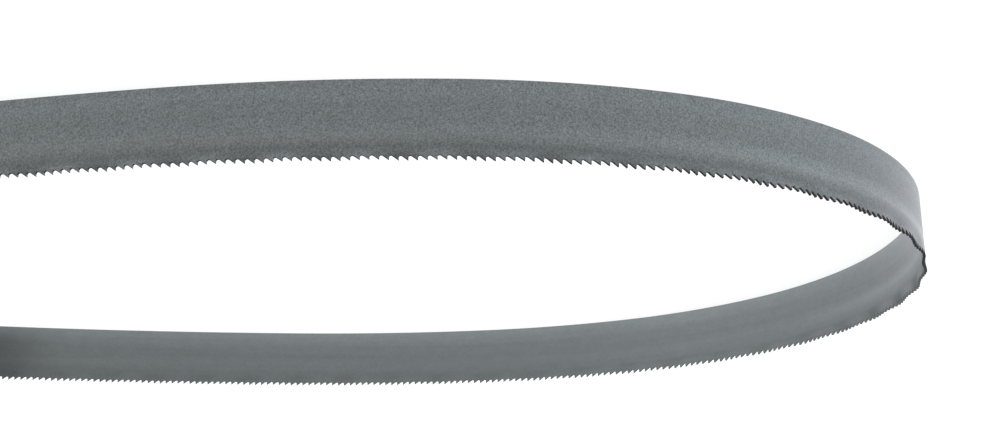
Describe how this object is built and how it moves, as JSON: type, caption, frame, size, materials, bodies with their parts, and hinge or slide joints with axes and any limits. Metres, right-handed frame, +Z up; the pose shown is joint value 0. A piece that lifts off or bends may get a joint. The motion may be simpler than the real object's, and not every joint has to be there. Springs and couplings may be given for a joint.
{
  "type": "band saw blade",
  "caption": "Narrow steel saw band welded into a closed loop, with fine teeth in a wavy set along one edge.",
  "frame": {"origin": "middle of the loop's overall length and width, on the back edge that it stands on", "axes": "+X along the loop's long axis from its broad end to its narrow end, +Z up from the back edge to the teeth"},
  "size_m": [0.269, 0.1558, 0.0127],
  "materials": {
    "blade_steel": "satin steel with a fine blasted grain"
  },
  "bodies": {
    "root": {"blade": "blade_steel"}
  },
  "joints": []
}
